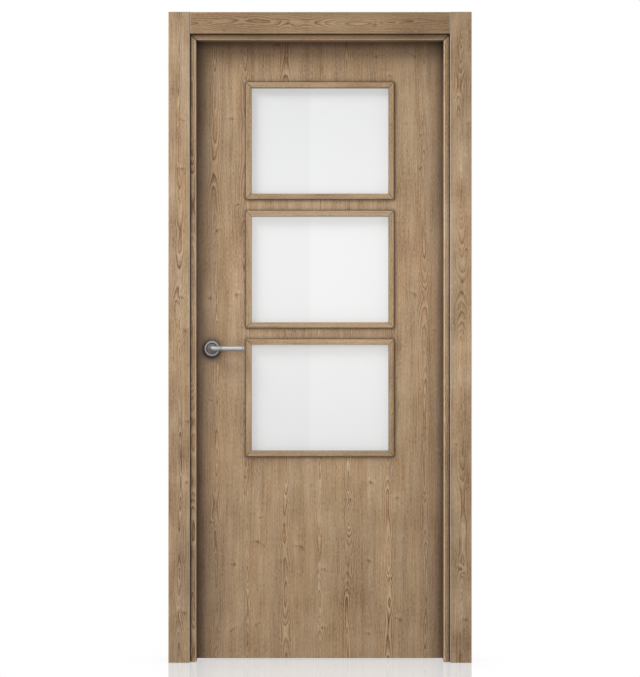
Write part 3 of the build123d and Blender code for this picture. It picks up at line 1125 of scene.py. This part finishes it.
@dataclass
class Hardware:
    """Levers, roses, hinges, latch and strike plate, with the screws of their plates."""

    nodes: Mapping[str, bpy.types.Object]
    nickel: SatinNickel = SatinNickel()
    rose_nickel: SatinNickel = SatinNickel(colour=(0.27, 0.265, 0.257), roughness=0.50, recess_shade_power=1.5)
    lever_nickel: SatinNickel = SatinNickel(recess_shade_reach=0.005, recess_shade_power=2.0)
    hinges: Sequence[str] = ("upper", "middle", "lower")
    grip_start: float = 0.042
    # Near-black finish of the screws' cross recesses: painted shade.
    recess_shade_nickel: SatinNickel = SatinNickel(colour=(0.05, 0.049, 0.047))
    screw: ScrewHead = ScrewHead()
    screw_turn: float = 0.9
    edge_gap: float = 0.005
    plate_reach: float = 0.028
    hinge_screw_heights: Sequence[float] = (-0.038, -0.013, 0.013, 0.038)
    edge_screw_heights: Sequence[float] = (-0.066, 0.066)

    def dress(self) -> None:
        """Plates all the metal; the grips are polished."""
        plate = self.nickel.material("satin_nickel")
        names = ["lock_faceplate", "latch_bolt", "strike_plate", "spindle"]
        for hinge in self.hinges:
            names += ["hinge_" + hinge + "_frame_half", "hinge_" + hinge + "_leaf_half"]
        dress(self.nodes, names, plate)
        dress(self.nodes, ["rose_front", "rose_back"], self.rose_nickel.material("satin_nickel_rose"))
        low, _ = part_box("lever_front")
        grip = self.lever_nickel.material("satin_nickel_lever", low.x + self.grip_start)
        dress(self.nodes, ["lever_front", "lever_back"], grip)
        # The cross recesses are painted near-black as shade.
        recess = self.recess_shade_nickel.material("screw_recess_painted_shade")
        leaf_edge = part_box("hinge_stile")[1].x
        frame_places = self._hinge_screws("frame", leaf_edge + self.edge_gap, -1.0)
        frame_places += self._edge_screws("strike_plate", 1.0)
        self._fit_screws("frame_screws", "frame", frame_places, [plate, recess])
        leaf_places = self._hinge_screws("leaf", leaf_edge, 1.0)
        leaf_places += self._edge_screws("lock_faceplate", -1.0)
        self._fit_screws("leaf_screws", "leaf", leaf_places, [plate, recess])

    def _hinge_screws(self, half: str, face: float, facing: float) -> List[Tuple[Vector, float]]:
        """Places of the screws in the hinge plates on one body.

        Args:
            half: Half of the hinge, "frame" or "leaf".
            face: Plane of the plates' faces, along X.
            facing: 1 where they face +X, -1 where they face -X.

        Returns:
            Middle and facing of each head.
        """
        places = []
        for hinge in self.hinges:
            low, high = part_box("hinge_" + hinge + "_" + half + "_half")
            middle = Vector((face, low.y + self.plate_reach / 2, (low.z + high.z) / 2))
            for height in self.hinge_screw_heights:
                places.append((middle + Vector((0.0, 0.0, height)), facing))
        return places

    def _edge_screws(self, node: str, facing: float) -> List[Tuple[Vector, float]]:
        """Places of the screws in a plate on the latch side.

        Args:
            node: The plate.
            facing: 1 where it faces +X, -1 where it faces -X.

        Returns:
            Middle and facing of each head.
        """
        low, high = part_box(node)
        middle = (low + high) / 2
        middle.x = high.x if facing > 0 else low.x
        return [(middle + Vector((0.0, 0.0, height)), facing) for height in self.edge_screw_heights]

    def _fit_screws(self, name: str, body: str, places: Sequence[Tuple[Vector, float]],
                    finishes: Sequence[bpy.types.Material]) -> None:
        """Joins the screws of one body in a piece that rides on it.

        Args:
            name: The piece's name.
            body: The body.
            places: Middle and facing of each head.
            finishes: Finish of the heads and of their recesses.
        """
        shape = bmesh.new()
        for number, (middle, facing) in enumerate(places):
            self.screw.add(shape, middle, facing, self.screw_turn * number)
        bmesh.ops.recalc_face_normals(shape, faces=shape.faces)
        mesh = bpy.data.meshes.new(name)
        shape.to_mesh(mesh)
        shape.free()
        for finish in finishes:
            mesh.materials.append(finish)
        screws = bpy.data.objects.new(name, mesh)
        bpy.context.scene.collection.objects.link(screws)
        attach(screws, body)
        LOG.info("fitted %d heads as %s", len(places), name)


@dataclass(frozen=True)
class SoftLamp:
    """A soft lamp, placed from the middle of the door's foot; lengths in metres, power in watts.

    Shiny surfaces show the lamp if it is mirrored.
    """

    name: str
    offset: Tuple[float, float, float]
    width: float
    height: float
    power: float
    colour: Colour
    mirrored: bool = True


@dataclass
class Studio:
    """White floor with a faint mirror image, soft lamps and the camera."""

    door_middle: Vector
    front_y: float
    camera_distance: float = 5.5
    camera_height: float = 1.0527
    focal_pixels: float = 1694.6
    sensor: float = 36.0
    floor_half: float = 14.0
    floor_drop: float = 0.0006
    floor_matt: Colour = (0.7, 0.7, 0.7)
    floor_refraction: float = 1.58
    mirror_roughness: float = 0.04
    foot_shade: float = 0.14
    foot_shade_reach: float = 0.25
    foot_shade_samples: int = 8
    ambient: float = 0.17
    lamps: Sequence[SoftLamp] = (
        SoftLamp("key_lamp", (-2.2, -1.8, 4.26), 1.8, 1.8, 149.0, (0.96, 1.0, 1.05)),
        SoftLamp("front_lamp", (0.0, -1.1, 1.3), 1.0, 0.8, 6.4, (1.03, 1.0, 0.96)),
        SoftLamp("low_lamp", (-0.3, -1.8, 0.25), 1.0, 0.4, 1.6, (1.03, 1.0, 0.94)),
        SoftLamp("right_strip", (2.4, -2.2, 1.2), 0.4, 1.8, 7.0, (1.03, 1.0, 0.96)),
        SoftLamp("back_lamp", (0.0, 3.0, 1.4), 4.0, 3.2, 60.0, WHITE, mirrored=False),
    )

    def build(self) -> None:
        """Sets up everything round the door."""
        self._world()
        self._floor()
        for lamp in self.lamps:
            self._place(lamp)
        self._camera()
        bpy.context.scene.view_settings.view_transform = "Standard"

    @staticmethod
    def _seen_directly(sheet: NodeSheet) -> Value:
        """Tells the rays that show the surround from those that light the door.

        Args:
            sheet: The nodes of the surround or the floor.

        Returns:
            1 on rays from the camera and on those that mirror or pass through a surface.
        """
        rays = sheet.node("ShaderNodeLightPath").outputs
        seen = Value(sheet, rays["Is Camera Ray"]) + Value(sheet, rays["Is Glossy Ray"])
        return sheet.math("MINIMUM", seen + Value(sheet, rays["Is Transmission Ray"]), 1.0)

    def _world(self) -> None:
        """White surround that lights the door only softly."""
        world = bpy.data.worlds.new("studio")
        world.use_nodes = True
        bpy.context.scene.world = world
        sheet = NodeSheet(world.node_tree)
        strength = self.ambient + (1.0 - self.ambient) * self._seen_directly(sheet)
        background = sheet.node("ShaderNodeBackground", None, {"Color": WHITE, "Strength": strength})
        sheet.output("ShaderNodeOutputWorld", background.outputs[0])

    def _floor(self) -> None:
        """Pale polished floor."""
        half = self.floor_half
        mesh = bpy.data.meshes.new("floor")
        corners = [(-half, -half, 0), (half, -half, 0), (half, half, 0), (-half, half, 0)]
        mesh.from_pydata(corners, [], [(0, 1, 2, 3)])
        floor = bpy.data.objects.new("floor", mesh)
        floor.location = (self.door_middle.x, self.door_middle.y, -self.floor_drop)
        bpy.context.scene.collection.objects.link(floor)
        mesh.materials.append(self._floor_finish())
        floor.visible_shadow = False

    def _floor_finish(self) -> bpy.types.Material:
        """Makes a white finish with a clear mirror image at low angles and a faint shadow by the door.

        Returns:
            The material.
        """
        material, sheet = NodeSheet.of_material("studio_floor")
        nearby = sheet.node("ShaderNodeAmbientOcclusion", {"samples": self.foot_shade_samples},
                            {"Distance": self.foot_shade_reach})
        shade = sheet.mix(Value(sheet, nearby.outputs["AO"]), dimmed(WHITE, 1.0 - self.foot_shade), WHITE)
        white = sheet.node("ShaderNodeEmission", None, {"Color": shade, "Strength": 1.0})
        mirror = sheet.node("ShaderNodeBsdfGlossy", None,
                            {"Color": WHITE, "Roughness": self.mirror_roughness})
        fresnel = sheet.node("ShaderNodeFresnel", None, {"IOR": self.floor_refraction})
        polished = sheet.node("ShaderNodeMixShader", None,
                              {0: fresnel.outputs[0], 1: white.outputs[0], 2: mirror.outputs[0]})
        matt = sheet.node("ShaderNodeBsdfDiffuse", None, {"Color": self.floor_matt})
        mixed = sheet.node("ShaderNodeMixShader", None,
                           {0: self._seen_directly(sheet), 1: matt.outputs[0], 2: polished.outputs[0]})
        sheet.output("ShaderNodeOutputMaterial", mixed.outputs[0])
        return material

    def _place(self, lamp: SoftLamp) -> None:
        """Puts up a lamp, aimed at the middle of the door.

        Args:
            lamp: The lamp.
        """
        data = bpy.data.lights.new(lamp.name, "AREA")
        data.shape = "RECTANGLE"
        data.size = lamp.width
        data.size_y = lamp.height
        data.energy = lamp.power
        data.color = lamp.colour
        light = bpy.data.objects.new(lamp.name, data)
        light.visible_camera = False
        light.visible_glossy = lamp.mirrored
        light.location = Vector((self.door_middle.x, self.front_y, 0.0)) + Vector(lamp.offset)
        aim = self.door_middle - light.location
        light.rotation_euler = aim.to_track_quat("-Z", "Y").to_euler()
        bpy.context.scene.collection.objects.link(light)
        LOG.info("put up %s", lamp.name)

    def _camera(self) -> None:
        """Adds the camera, level and square to the door."""
        data = bpy.data.cameras.new("camera")
        data.sensor_width = self.sensor
        data.lens = self.focal_pixels / max(IMAGE_WIDTH, IMAGE_HEIGHT) * self.sensor
        camera = bpy.data.objects.new("camera", data)
        camera.location = (self.door_middle.x, self.front_y - self.camera_distance, self.camera_height)
        camera.rotation_euler = (math.pi / 2, 0.0, 0.0)
        bpy.context.scene.collection.objects.link(camera)
        bpy.context.scene.camera = camera


def main() -> None:
    """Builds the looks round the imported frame."""
    logging.basicConfig(level=logging.INFO)
    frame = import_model()
    nodes: Dict[str, bpy.types.Object] = frame["nodes"]
    DoorFrame(nodes).dress()
    GlazedLeaf(nodes).dress()
    Hardware(nodes).dress()
    low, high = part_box("leaf_front_skin")
    front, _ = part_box("front_architrave_head")
    Studio((low + high) / 2, front.y).build()


if __name__ == "__main__":
    main()
